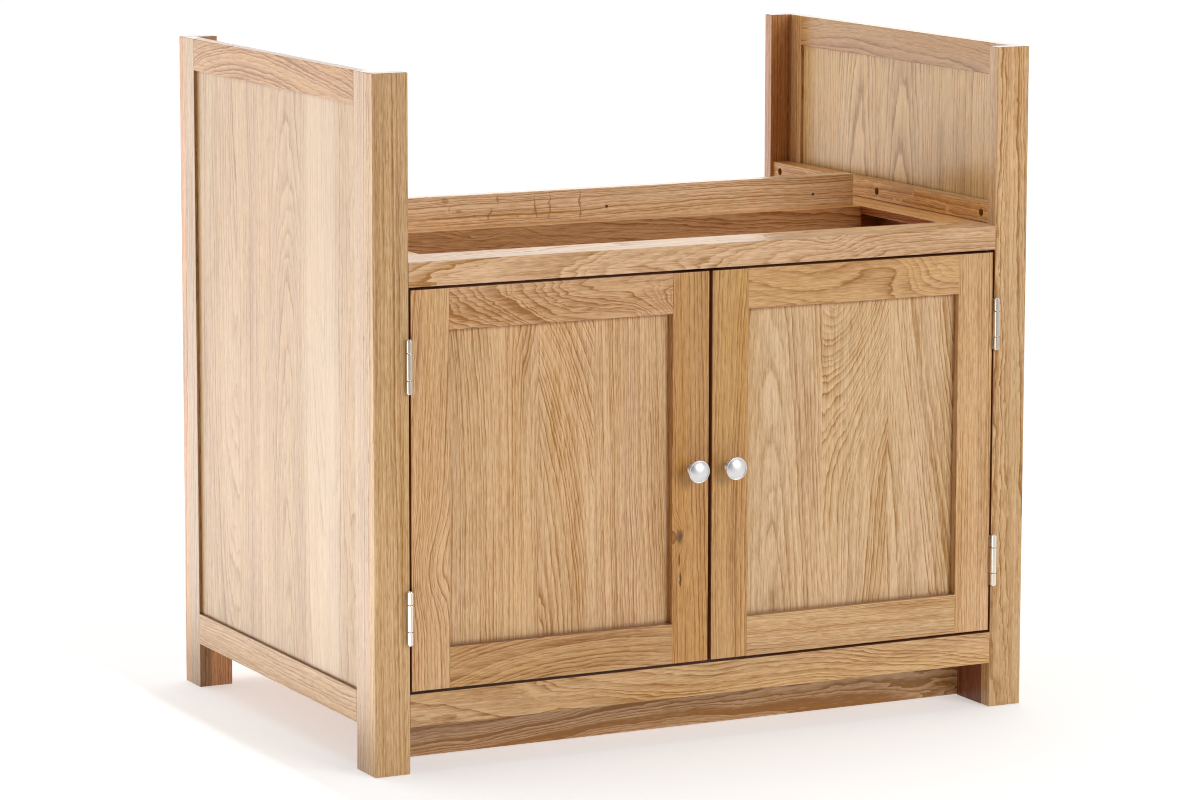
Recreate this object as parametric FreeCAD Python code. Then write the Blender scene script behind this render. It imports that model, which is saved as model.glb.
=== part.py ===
import FreeCAD, Part
import math
import os

V = FreeCAD.Vector
os.makedirs("parts", exist_ok=True)

# ---------------------------------------------------------------------------
# Free-standing oak cabinet for a double butler sink.  Millimetres, +Z up.
# The sizes below are written in cabinet coordinates: x from the left outer
# face, y from the plane of the front frame towards the back, z from the floor.
# The model frame has its origin at the bottom centre of the whole object's box.
# ---------------------------------------------------------------------------

# overall
W, D, H = 900.0, 600.0, 840.0

# front frame
FACE_STILE_W, FACE_T = 46.0, 20.0
BOTTOM_RAIL_Z, BOTTOM_RAIL_H = 57.0, 40.0
TOP_RAIL_Z, TOP_RAIL_H = 586.0, 30.0
FACE_TENON_L, FACE_TENON_T, FACE_SHOULDER = 18.0, 8.0, 5.0

# rear frame
REAR_STILE_W, REAR_T = 45.0, 18.0
REAR_TOP_RAIL_Z, REAR_RAIL_H = 566.0, 40.0
REAR_TENON_L, REAR_TENON_T = 18.0, 6.0

# side frames
SIDE_T = 16.0
SIDE_FRONT_STILE_W, SIDE_REAR_STILE_W = 34.0, 30.0
SIDE_RAIL_H = 40.0
PANEL_T, PANEL_INSET = 8.0, 4.0
GROOVE_DEPTH, EXPANSION = 9.0, 1.0

# platform that carries the sink
SEAT_Z = TOP_RAIL_Z + TOP_RAIL_H
FRONT_BEARER_D, FRONT_BEARER_T = 44.0, 20.0
SIDE_BEARER_W, SIDE_BEARER_T = 74.0, 10.0
MID_BEARER_Y, MID_BEARER_T, MID_BEARER_H = 258.0, 22.0, 34.0
STOP_T, STOP_BOTTOM_Z, STOP_TOP_Z = 18.0, 580.0, 656.0
STOP_HOLE_R = 2.0
STOP_HOLE_X = (150.0, 450.0, 750.0)
STOP_HOLE_Z = 632.0
CROSS_RAIL_T, CROSS_RAIL_Z0 = 20.0, 572.0
BATTEN = 25.0
CLEAT_W, CLEAT_H = 25.0, 24.0
CLEAT_HOLE_Y = (43.0, 303.0, 563.0)
CLEAT_BORE_R, CLEAT_BORE_DEPTH, CLEAT_HOLE_R = 5.0, 12.0, 2.3

# base
BASE_T = 18.0
BASE_BATTEN = 22.0
PLINTH_Y, PLINTH_T, PLINTH_GAP = 77.0, 18.0, 1.0
PLINTH_END = 22.0
FRONT_BLOCK_D = 57.0

# doors
DOOR_T = 22.0
DOOR_GAP, DOOR_END_GAP, MEET_GAP = 2.5, 3.0, 4.5
DOOR_STILE_W, DOOR_RAIL_H = 50.0, 50.0
DOOR_PANEL_Y0, DOOR_PANEL_T = 10.0, 8.0

# butt hinges
HINGE_H = 64.0
HINGE_END = 90.5
LEAF_T, LEAF_D = 1.0, 19.0
BARREL_R, BARREL_OUT = 3.9, 4.1
AXIS_OUT = 2.65
KNUCKLE_END, KNUCKLE_GAP, KNUCKLE_EASE = 15.4, 0.6, 0.5
PIN_R, PIN_CLEAR = 1.5, 0.05
PIN_CAP_R, PIN_CAP_T = 2.8, 1.0
LEAF_SCREW_DZ = (-22.0, 0.0, 22.0)
LEAF_SCREW_Y = 11.0

# knobs
KNOB_OUT = 24.0
KNOB_R, KNOB_BASE_R, KNOB_NECK_R = 14.1, 6.4, 3.8
KNOB_BEAD, KNOB_DOME = 0.75, 3.9
KNOB_EDGE, KNOB_Z = 23.5, 340.0

# magnetic catch
CATCH_W, CATCH_D, CATCH_H = 52.0, 20.0, 20.0

# eased edges
R_POST, R_BOARD, R_DOOR, R_DOOR_OUT = 1.2, 0.8, 0.6, 1.2

# derived places
CX = W / 2.0
CY = (D - KNOB_OUT) / 2.0
SIDE_Y0, SIDE_Y1 = FACE_T, D - REAR_T
PAN_Y0 = SIDE_Y0 + SIDE_FRONT_STILE_W
PAN_Y1 = SIDE_Y1 - SIDE_REAR_STILE_W
BASE_TOP = BOTTOM_RAIL_Z + BOTTOM_RAIL_H
BASE_Z0 = BASE_TOP - BASE_T
OPEN_X0, OPEN_X1 = FACE_STILE_W, W - FACE_STILE_W
DOOR_Z0, DOOR_Z1 = BASE_TOP + DOOR_END_GAP, TOP_RAIL_Z - DOOR_END_GAP
DOOR_W = (OPEN_X1 - OPEN_X0 - 2.0 * DOOR_GAP - MEET_GAP) / 2.0
DOOR_X0 = OPEN_X0 + DOOR_GAP
DOOR_X1 = DOOR_X0 + DOOR_W
AXIS_X = OPEN_X0 + DOOR_GAP / 2.0 - AXIS_OUT
HINGE_Z = (DOOR_Z0 + HINGE_END, DOOR_Z1 - HINGE_END)
STOP_Y = MID_BEARER_Y + MID_BEARER_T
SIDE_BEARER_X1 = SIDE_T + SIDE_BEARER_W
FRONT_BEARER_Y1 = FACE_T + FRONT_BEARER_D


def P(x, y, z):
    return V(x - CX, y - CY, z)


def box(x0, x1, y0, y1, z0, z1):
    return Part.makeBox(x1 - x0, y1 - y0, z1 - z0, P(x0, y0, z0))


def rod(x, y, z, r, length, d):
    return Part.makeCylinder(r, length, P(x, y, z), V(*d))


class Side:
    """Left hand as written; right hand is the same set out from the other side."""

    def __init__(self, name):
        self.name = name
        self.left = name == "left"
        self.out = -1.0 if self.left else 1.0

    def x(self, x):
        return x if self.left else W - x

    def box(self, x0, x1, y0, y1, z0, z1):
        a, b = self.x(x0), self.x(x1)
        return box(min(a, b), max(a, b), y0, y1, z0, z1)

    def rod_x(self, x, y, z, r, length, towards_outside=True):
        d = self.out if towards_outside else -self.out
        return rod(self.x(x), y, z, r, length, (d, 0, 0))

    def line(self, **k):
        if "x" in k:
            k["x"] = self.x(k["x"])
        return k


LEFT, RIGHT = Side("left"), Side("right")


def ease(shape, r, *lines):
    """Round the straight edges that lie on the given lines (two fixed coordinates each)."""
    shift = {"x": CX, "y": CY, "z": 0.0}
    chosen = []
    for e in shape.Edges:
        if len(e.Vertexes) != 2:
            continue
        a, b = e.Vertexes[0].Point, e.Vertexes[1].Point
        for ln in lines:
            if all(abs(getattr(p, k) - (v - shift[k])) < 1e-4 for k, v in ln.items() for p in (a, b)):
                chosen.append(e)
                break
    if not chosen:
        return shape
    out = shape.makeFillet(r, chosen)
    if not out.isValid() or out.Volume <= 0 or out.Volume < 0.9 * shape.Volume:
        raise ValueError("rounding failed")
    return out.Solids[0] if len(out.Solids) == 1 else out


def fuse(a, *others):
    s = a
    for o in others:
        s = s.fuse(o)
    return s.removeSplitter()


def cut(a, *others):
    s = a
    for o in others:
        s = s.cut(o)
    return s


count = {}


def save(name, *shapes):
    solids = []
    for s in shapes:
        solids.extend(s.Solids)
    for s in solids:
        if not s.isValid() or s.Volume <= 0:
            raise ValueError("bad solid in " + name)
    whole = solids[0] if len(solids) == 1 else Part.makeCompound(solids)
    whole.exportStep("parts/%s.step" % name)
    count[name] = len(solids)


def screw_x(side, x_head, y, z, head_r, head_t, shank_r, shank_l, towards_outside=True):
    """Flat headed screw along x with a cross recess; x_head is the open face of its head."""
    d = side.out if towards_outside else -side.out
    hx = side.x(x_head)
    head = rod(hx, y, z, head_r, head_t, (d, 0, 0))
    shank = rod(hx + d * (head_t - 0.1), y, z, shank_r, shank_l + 0.1, (d, 0, 0))
    s = head.fuse(shank).removeSplitter()
    depth, half, wide = head_t * 0.6, head_r * 0.62, max(0.5, head_r * 0.16)
    x0, x1 = sorted((hx - d * 1.0, hx + d * depth))
    s = s.cut(box(x0, x1, y - half, y + half, z - wide / 2, z + wide / 2))
    s = s.cut(box(x0, x1, y - wide / 2, y + wide / 2, z - half, z + half))
    return s


def screw_y(x, y_head, z, head_r, head_t, shank_r, shank_l, d):
    """Round headed screw along y; d is the way it is driven."""
    head = rod(x, y_head, z, head_r, head_t, (0, d, 0))
    shank = rod(x, y_head + d * (head_t - 0.1), z, shank_r, shank_l + 0.1, (0, d, 0))
    s = head.fuse(shank).removeSplitter()
    depth, half, wide = head_t * 0.6, head_r * 0.62, max(0.6, head_r * 0.16)
    y0, y1 = sorted((y_head - d * 1.0, y_head + d * depth))
    s = s.cut(box(x - half, x + half, y0, y1, z - wide / 2, z + wide / 2))
    s = s.cut(box(x - wide / 2, x + wide / 2, y0, y1, z - half, z + half))
    return s


# ---------------------------------------------------------------------------
# front frame
# ---------------------------------------------------------------------------
ty0 = (FACE_T - FACE_TENON_T) / 2.0
ty1 = ty0 + FACE_TENON_T

for sd in (LEFT, RIGHT):
    s = sd.box(0, FACE_STILE_W, 0, FACE_T, 0, H)
    s = ease(s, R_POST,
             sd.line(x=0, y=0), sd.line(x=FACE_STILE_W, y=0), sd.line(x=FACE_STILE_W, y=FACE_T),
             sd.line(y=0, z=H), sd.line(x=0, z=H), sd.line(x=FACE_STILE_W, z=H),
             sd.line(y=0, z=0), sd.line(x=0, z=0), sd.line(x=FACE_STILE_W, z=0))
    for z0, h in ((BOTTOM_RAIL_Z, BOTTOM_RAIL_H), (TOP_RAIL_Z, TOP_RAIL_H)):
        s = cut(s, sd.box(FACE_STILE_W - FACE_TENON_L - 0.2, FACE_STILE_W + 1.0, ty0, ty1,
                          z0 + FACE_SHOULDER, z0 + h - FACE_SHOULDER))
    for hz in HINGE_Z:
        for dz in LEAF_SCREW_DZ:
            s = cut(s, sd.rod_x(FACE_STILE_W + 1.0, LEAF_SCREW_Y, hz + dz, 1.7, 16.0))
    save("face_stile_" + sd.name, s)

for name, z0, h in (("face_bottom_rail", BOTTOM_RAIL_Z, BOTTOM_RAIL_H), ("face_top_rail", TOP_RAIL_Z, TOP_RAIL_H)):
    s = box(OPEN_X0, OPEN_X1, 0, FACE_T, z0, z0 + h)
    s = ease(s, R_BOARD, dict(y=0, z=z0), dict(y=0, z=z0 + h))
    t = box(OPEN_X0 - FACE_TENON_L, OPEN_X1 + FACE_TENON_L, ty0, ty1, z0 + FACE_SHOULDER, z0 + h - FACE_SHOULDER)
    save(name, fuse(s, t))

# ---------------------------------------------------------------------------
# rear frame, open between its rails for the pipes
# ---------------------------------------------------------------------------
ry0 = D - REAR_T + (REAR_T - REAR_TENON_T) / 2.0
ry1 = ry0 + REAR_TENON_T

for sd in (LEFT, RIGHT):
    s = sd.box(0, REAR_STILE_W, D - REAR_T, D, 0, H)
    s = ease(s, R_POST,
             sd.line(x=0, y=D), sd.line(x=REAR_STILE_W, y=D), sd.line(x=REAR_STILE_W, y=D - REAR_T),
             sd.line(y=D, z=H), sd.line(x=0, z=H), sd.line(x=REAR_STILE_W, z=H),
             sd.line(y=D, z=0), sd.line(x=0, z=0), sd.line(x=REAR_STILE_W, z=0))
    for z0 in (BOTTOM_RAIL_Z, REAR_TOP_RAIL_Z):
        s = cut(s, sd.box(REAR_STILE_W - REAR_TENON_L - 0.2, REAR_STILE_W + 1.0, ry0, ry1,
                          z0 + FACE_SHOULDER, z0 + REAR_RAIL_H - FACE_SHOULDER))
    save("rear_stile_" + sd.name, s)

for name, z0 in (("rear_bottom_rail", BOTTOM_RAIL_Z), ("rear_top_rail", REAR_TOP_RAIL_Z)):
    s = box(REAR_STILE_W, W - REAR_STILE_W, D - REAR_T, D, z0, z0 + REAR_RAIL_H)
    s = ease(s, R_BOARD, dict(y=D, z=z0), dict(y=D, z=z0 + REAR_RAIL_H))
    t = box(REAR_STILE_W - REAR_TENON_L, W - REAR_STILE_W + REAR_TENON_L, ry0, ry1,
            z0 + FACE_SHOULDER, z0 + REAR_RAIL_H - FACE_SHOULDER)
    save(name, fuse(s, t))

# ---------------------------------------------------------------------------
# side frames: stiles and rails grooved for a loose panel
# ---------------------------------------------------------------------------
px0, px1 = PANEL_INSET, PANEL_INSET + PANEL_T
rz0, rz1 = BOTTOM_RAIL_Z, BOTTOM_RAIL_Z + SIDE_RAIL_H
tz0, tz1 = H - SIDE_RAIL_H, H
G = GROOVE_DEPTH

for sd in (LEFT, RIGHT):
    # front stile, glued to the back of the front frame's stile
    s = sd.box(0, SIDE_T, SIDE_Y0, PAN_Y0, 0, H)
    s = ease(s, R_BOARD, sd.line(x=0, y=PAN_Y0), sd.line(x=0, z=H), sd.line(x=0, z=0),
             sd.line(y=PAN_Y0, z=0), sd.line(x=SIDE_T, y=PAN_Y0))
    s = cut(s, sd.box(px0, px1, PAN_Y0 - G, PAN_Y0 + 1, rz0, H + 1))
    s = cut(s, sd.rod_x(SIDE_T + 1.0, CLEAT_HOLE_Y[0], SEAT_Z + CLEAT_H / 2, 1.7, 12.0))
    save(sd.name + "_side_front_stile", s)
    # rear stile, glued to the front of the rear frame's stile
    s = sd.box(0, SIDE_T, PAN_Y1, SIDE_Y1, 0, H)
    s = ease(s, R_BOARD, sd.line(x=0, y=PAN_Y1), sd.line(x=0, z=H), sd.line(x=0, z=0),
             sd.line(y=PAN_Y1, z=0), sd.line(x=SIDE_T, y=PAN_Y1))
    s = cut(s, sd.box(px0, px1, PAN_Y1 - 1, PAN_Y1 + G, rz0, H + 1))
    s = cut(s, sd.rod_x(SIDE_T + 1.0, CLEAT_HOLE_Y[2], SEAT_Z + CLEAT_H / 2, 1.7, 12.0))
    save(sd.name + "_side_rear_stile", s)
    # rails with tongues that fill the stiles' grooves
    for nm, z0, z1, gz0, gz1 in (("bottom", rz0, rz1, rz1 - G, rz1 + 1), ("top", tz0, tz1, tz0 - 1, tz0 + G)):
        s = sd.box(0, SIDE_T, PAN_Y0, PAN_Y1, z0, z1)
        s = ease(s, R_BOARD, sd.line(x=0, z=z0), sd.line(x=0, z=z1), sd.line(x=SIDE_T, z=z0), sd.line(x=SIDE_T, z=z1))
        s = fuse(s, sd.box(px0, px1, PAN_Y0 - G, PAN_Y1 + G, z0, z1))
        s = cut(s, sd.box(px0, px1, PAN_Y0 - G - 1, PAN_Y1 + G + 1, gz0, gz1))
        save("%s_side_%s_rail" % (sd.name, nm), s)
    # loose panel with room to move in its grooves
    p = sd.box(px0, px1, PAN_Y0 - G + EXPANSION, PAN_Y1 + G - EXPANSION, rz1 - G + EXPANSION, tz0 + G - EXPANSION)
    p = cut(p, sd.rod_x(px1 + 1.0, CLEAT_HOLE_Y[1], SEAT_Z + CLEAT_H / 2, 1.7, 6.0))
    save(sd.name + "_side_panel", p)

# ---------------------------------------------------------------------------
# sink platform
# ---------------------------------------------------------------------------
s = box(SIDE_T, W - SIDE_T, FACE_T, FRONT_BEARER_Y1, SEAT_Z - FRONT_BEARER_T, SEAT_Z)
s = ease(s, R_BOARD, dict(y=FRONT_BEARER_Y1, z=SEAT_Z - FRONT_BEARER_T))
save("front_bearer", s)

for sd in (LEFT, RIGHT):
    s = sd.box(SIDE_T, SIDE_BEARER_X1, FRONT_BEARER_Y1, SIDE_Y1, SEAT_Z - SIDE_BEARER_T, SEAT_Z)
    s = ease(s, R_BOARD, sd.line(x=SIDE_BEARER_X1, z=SEAT_Z), sd.line(x=SIDE_BEARER_X1, z=SEAT_Z - SIDE_BEARER_T))
    save(sd.name + "_bearer", s)

s = box(SIDE_BEARER_X1, W - SIDE_BEARER_X1, MID_BEARER_Y, STOP_Y, SEAT_Z - MID_BEARER_H, SEAT_Z)
s = ease(s, R_BOARD, dict(y=MID_BEARER_Y, z=SEAT_Z), dict(y=MID_BEARER_Y, z=SEAT_Z - MID_BEARER_H))
for x in (200.0, 400.0, 500.0, 700.0):
    s = cut(s, rod(x, STOP_Y + 1.0, SEAT_Z - 17.0, 1.7, 17.0, (0, -1, 0)))
save("mid_bearer", s)

s = box(SIDE_BEARER_X1, W - SIDE_BEARER_X1, STOP_Y, STOP_Y + STOP_T, STOP_BOTTOM_Z, STOP_TOP_Z)
s = ease(s, R_BOARD, dict(y=STOP_Y, z=STOP_TOP_Z), dict(y=STOP_Y + STOP_T, z=STOP_TOP_Z),
         dict(x=SIDE_BEARER_X1, z=STOP_TOP_Z), dict(x=W - SIDE_BEARER_X1, z=STOP_TOP_Z))
for x in STOP_HOLE_X:
    s = cut(s, rod(x, STOP_Y - 1.0, STOP_HOLE_Z, STOP_HOLE_R, STOP_T + 2.0, (0, 1, 0)))
for x in (200.0, 400.0, 500.0, 700.0):
    s = cut(s, rod(x, STOP_Y - 1.0, SEAT_Z - 17.0, 2.3, STOP_T + 2.0, (0, 1, 0)))
save("sink_stop_rail", s)

cz1 = SEAT_Z - SIDE_BEARER_T
s = box(SIDE_T + BATTEN, W - SIDE_T - BATTEN, STOP_Y + STOP_T, STOP_Y + STOP_T + CROSS_RAIL_T, CROSS_RAIL_Z0, cz1)
for x in (200.0, 400.0, 500.0, 700.0):
    s = cut(s, rod(x, STOP_Y + STOP_T - 1.0, SEAT_Z - 17.0, 2.3, CROSS_RAIL_T + 2.0, (0, 1, 0)))
s = ease(s, R_BOARD, dict(y=STOP_Y + STOP_T + CROSS_RAIL_T, z=cz1), dict(y=STOP_Y + STOP_T + CROSS_RAIL_T, z=CROSS_RAIL_Z0))
save("cross_rail", s)

save("platform_screws", *[screw_y(x, STOP_Y + STOP_T + CROSS_RAIL_T + 2.4, SEAT_Z - 17.0, 4.2, 2.4, 1.6,
                                  CROSS_RAIL_T + STOP_T + 14.0, -1) for x in (200.0, 400.0, 500.0, 700.0)])

save("bearer_battens", *[sd.box(SIDE_T, SIDE_T + BATTEN, FRONT_BEARER_Y1, SIDE_Y1, cz1 - BATTEN, cz1) for sd in (LEFT, RIGHT)])

# cleats screwed to the sides above the platform, through counterbored holes
for sd in (LEFT, RIGHT):
    cx1 = SIDE_T + CLEAT_W
    s = sd.box(SIDE_T, cx1, FACE_T, SIDE_Y1, SEAT_Z, SEAT_Z + CLEAT_H)
    s = ease(s, R_BOARD, sd.line(x=cx1, z=SEAT_Z + CLEAT_H), sd.line(x=cx1, z=SEAT_Z))
    for y in CLEAT_HOLE_Y:
        zc = SEAT_Z + CLEAT_H / 2
        s = cut(s, sd.rod_x(cx1 + 1.0, y, zc, CLEAT_BORE_R, CLEAT_BORE_DEPTH + 1.0))
        s = cut(s, sd.rod_x(cx1 + 1.0, y, zc, CLEAT_HOLE_R, CLEAT_W + 2.0))
    save(sd.name + "_sink_cleat", s)

save("cleat_screws", *[screw_x(sd, SIDE_T + CLEAT_W - CLEAT_BORE_DEPTH + 2.6, y, SEAT_Z + CLEAT_H / 2, 4.2, 2.6, 1.6,
                               CLEAT_W - CLEAT_BORE_DEPTH + 8.0) for sd in (LEFT, RIGHT) for y in CLEAT_HOLE_Y])

# ---------------------------------------------------------------------------
# base
# ---------------------------------------------------------------------------
save("base_board", box(SIDE_T, W - SIDE_T, FACE_T, SIDE_Y1, BASE_Z0, BASE_TOP))
save("base_battens", *[sd.box(SIDE_T, SIDE_T + BASE_BATTEN, PLINTH_Y + PLINTH_T, PAN_Y1, BASE_Z0 - BASE_BATTEN, BASE_Z0)
                       for sd in (LEFT, RIGHT)])
s = box(PLINTH_END, W - PLINTH_END, PLINTH_Y, PLINTH_Y + PLINTH_T, PLINTH_GAP, BASE_Z0)
s = ease(s, R_BOARD, dict(y=PLINTH_Y, z=PLINTH_GAP))
save("plinth", s)
blocks = []
for sd in (LEFT, RIGHT):
    s = sd.box(SIDE_T, FACE_STILE_W, FACE_T, FACE_T + FRONT_BLOCK_D, 0, BASE_Z0)
    blocks.append(ease(s, R_BOARD, sd.line(x=FACE_STILE_W, z=0)))
save("front_foot_blocks", *blocks)
blocks = []
for sd in (LEFT, RIGHT):
    s = sd.box(SIDE_T, REAR_STILE_W, PAN_Y1, SIDE_Y1, 0, BASE_Z0)
    blocks.append(ease(s, R_BOARD, sd.line(x=REAR_STILE_W, y=PAN_Y1), sd.line(y=PAN_Y1, z=0), sd.line(x=REAR_STILE_W, z=0)))
save("rear_foot_blocks", *blocks)

# ---------------------------------------------------------------------------
# doors: stiles and rails grooved for a loose panel
# ---------------------------------------------------------------------------
KNOB_X = DOOR_X1 - KNOB_EDGE
gy0, gy1 = DOOR_PANEL_Y0, DOOR_PANEL_Y0 + DOOR_PANEL_T
hx1 = DOOR_X0 + DOOR_STILE_W
mx0 = DOOR_X1 - DOOR_STILE_W
STRIKE_X0, STRIKE_X1 = DOOR_X1 - 20.0, DOOR_X1 - 2.0
STRIKE_Z0, STRIKE_Z1 = DOOR_Z1 - 11.0, DOOR_Z1 - 1.0


def knob_solid(x):
    """Turned mushroom knob, its axis along -y from the door's face."""
    def q(r, out):
        return P(x + r, -out, KNOB_Z)
    def ln(a, b):
        return Part.LineSegment(q(*a), q(*b)).toShape()
    def arc(a, m, b):
        return Part.Arc(q(*a), q(*m), q(*b)).toShape()
    # the dome is a cap of a ball whose centre is on the axis; it rises inside a beaded rim
    bead = KNOB_BEAD
    rr, low = KNOB_R - 2.0 * bead, KNOB_OUT - KNOB_DOME
    ball = (rr * rr + KNOB_DOME ** 2) / (2.0 * KNOB_DOME)
    half = math.asin(rr / ball) / 2.0
    mid = (ball * math.sin(half), KNOB_OUT - ball + ball * math.cos(half))
    edges = [
        ln((0, 0), (KNOB_BASE_R, 0)),
        ln((KNOB_BASE_R, 0), (KNOB_BASE_R, 1.2)),
        arc((KNOB_BASE_R, 1.2), (KNOB_BASE_R - 0.35, 1.9), (KNOB_BASE_R - 1.0, 2.3)),
        arc((KNOB_BASE_R - 1.0, 2.3), (KNOB_NECK_R + 0.55, 4.6), (KNOB_NECK_R, 7.8)),
        arc((KNOB_NECK_R, 7.8), (KNOB_NECK_R + 1.6, 13.9), (KNOB_R - 2.0, low - 2.6)),
        arc((KNOB_R - 2.0, low - 2.6), (KNOB_R - 0.6, low - 1.9), (KNOB_R, low - 0.6)),
        ln((KNOB_R, low - 0.6), (KNOB_R, low)),
        arc((KNOB_R, low), (KNOB_R - bead, low + bead), (rr, low)),
        arc((rr, low), mid, (0, KNOB_OUT)),
        ln((0, KNOB_OUT), (0, 0)),
    ]
    face = Part.Face(Part.Wire(edges))
    s = face.revolve(P(x, 0, KNOB_Z), V(0, 1, 0), 360)
    s = s.Solids[0] if s.Solids else Part.Solid(s)
    if s.Volume < 0:
        s.reverse()
    return s


for sd in (LEFT, RIGHT):
    n = sd.name + "_door_"
    # stile that carries the hinges
    s = sd.box(DOOR_X0, hx1, 0, DOOR_T, DOOR_Z0, DOOR_Z1)
    s = ease(s, R_DOOR_OUT, sd.line(x=DOOR_X0, y=0), sd.line(y=0, z=DOOR_Z0), sd.line(y=0, z=DOOR_Z1))
    s = ease(s, R_DOOR, sd.line(x=hx1, y=0), sd.line(x=DOOR_X0, y=DOOR_T), sd.line(x=hx1, y=DOOR_T))
    s = cut(s, sd.box(hx1 - G, hx1 + 1, gy0, gy1, DOOR_Z0 - 1, DOOR_Z1 + 1))
    for hz in HINGE_Z:
        for dz in LEAF_SCREW_DZ:
            s = cut(s, sd.rod_x(DOOR_X0 - 1.0, LEAF_SCREW_Y, hz + dz, 1.7, 16.0, towards_outside=False))
    save(n + "hinge_stile", s)
    # stile that carries the knob
    s = sd.box(mx0, DOOR_X1, 0, DOOR_T, DOOR_Z0, DOOR_Z1)
    s = ease(s, R_DOOR_OUT, sd.line(x=DOOR_X1, y=0), sd.line(y=0, z=DOOR_Z0), sd.line(y=0, z=DOOR_Z1))
    s = ease(s, R_DOOR, sd.line(x=mx0, y=0), sd.line(x=DOOR_X1, y=DOOR_T), sd.line(x=mx0, y=DOOR_T))
    s = cut(s, sd.box(mx0 - 1, mx0 + G, gy0, gy1, DOOR_Z0 - 1, DOOR_Z1 + 1))
    s = cut(s, rod(sd.x(KNOB_X), -1.0, KNOB_Z, 2.3, DOOR_T + 2.0, (0, 1, 0)))
    s = cut(s, rod(sd.x((STRIKE_X0 + STRIKE_X1) / 2), DOOR_T + 1.0, (STRIKE_Z0 + STRIKE_Z1) / 2, 1.6, 9.5, (0, -1, 0)))
    save(n + "meeting_stile", s)
    # rails
    for nm, z0, z1, gz0, gz1 in (("bottom", DOOR_Z0, DOOR_Z0 + DOOR_RAIL_H, DOOR_Z0 + DOOR_RAIL_H - G, DOOR_Z0 + DOOR_RAIL_H + 1),
                                 ("top", DOOR_Z1 - DOOR_RAIL_H, DOOR_Z1, DOOR_Z1 - DOOR_RAIL_H - 1, DOOR_Z1 - DOOR_RAIL_H + G)):
        s = sd.box(hx1, mx0, 0, DOOR_T, z0, z1)
        outer = DOOR_Z0 if nm == "bottom" else DOOR_Z1
        s = ease(s, R_DOOR_OUT, sd.line(y=0, z=outer))
        s = ease(s, R_DOOR, sd.line(y=0, z=z0 + z1 - outer), sd.line(y=DOOR_T, z=z0), sd.line(y=DOOR_T, z=z1))
        s = fuse(s, sd.box(hx1 - G, mx0 + G, gy0, gy1, z0, z1))
        s = cut(s, sd.box(hx1 - G - 1, mx0 + G + 1, gy0, gy1, gz0, gz1))
        save(n + nm + "_rail", s)
    # loose panel
    e = EXPANSION
    save(n + "panel", sd.box(hx1 - G + e, mx0 + G - e, gy0, gy1, DOOR_Z0 + DOOR_RAIL_H - G + e, DOOR_Z1 - DOOR_RAIL_H + G - e))
    # knob and the screw that holds it from inside the door
    kx = sd.x(KNOB_X)
    k = cut(knob_solid(kx), rod(kx, 1.0, KNOB_Z, 2.05, 13.0, (0, -1, 0)))
    save(sd.name + "_knob", k)
    save(sd.name + "_knob_screw", screw_y(kx, DOOR_T + 2.6, KNOB_Z, 4.2, 2.6, 2.0, DOOR_T + 11.0, -1))
    # plate that the magnetic catch holds, with a stud driven into the stile
    s = sd.box(STRIKE_X0, STRIKE_X1, DOOR_T, DOOR_T + 1.2, STRIKE_Z0, STRIKE_Z1)
    sx, sz = sd.x((STRIKE_X0 + STRIKE_X1) / 2), (STRIKE_Z0 + STRIKE_Z1) / 2
    save(n + "strike", fuse(s, rod(sx, DOOR_T + 0.6, sz, 1.5, 8.6, (0, -1, 0))))

# ---------------------------------------------------------------------------
# butt hinges: a leaf on the frame with the two end knuckles, a leaf on the
# door with the middle knuckle, and a pin through all three
# ---------------------------------------------------------------------------
def knuckle(x, y, z0, z1):
    """Length of hinge barrel with eased ends."""
    k = rod(x, y, z0, BARREL_R, z1 - z0, (0, 0, 1))
    return k.makeFillet(KNUCKLE_EASE, [e for e in k.Edges if e.Closed and e.Length > 6.0 * BARREL_R])


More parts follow.
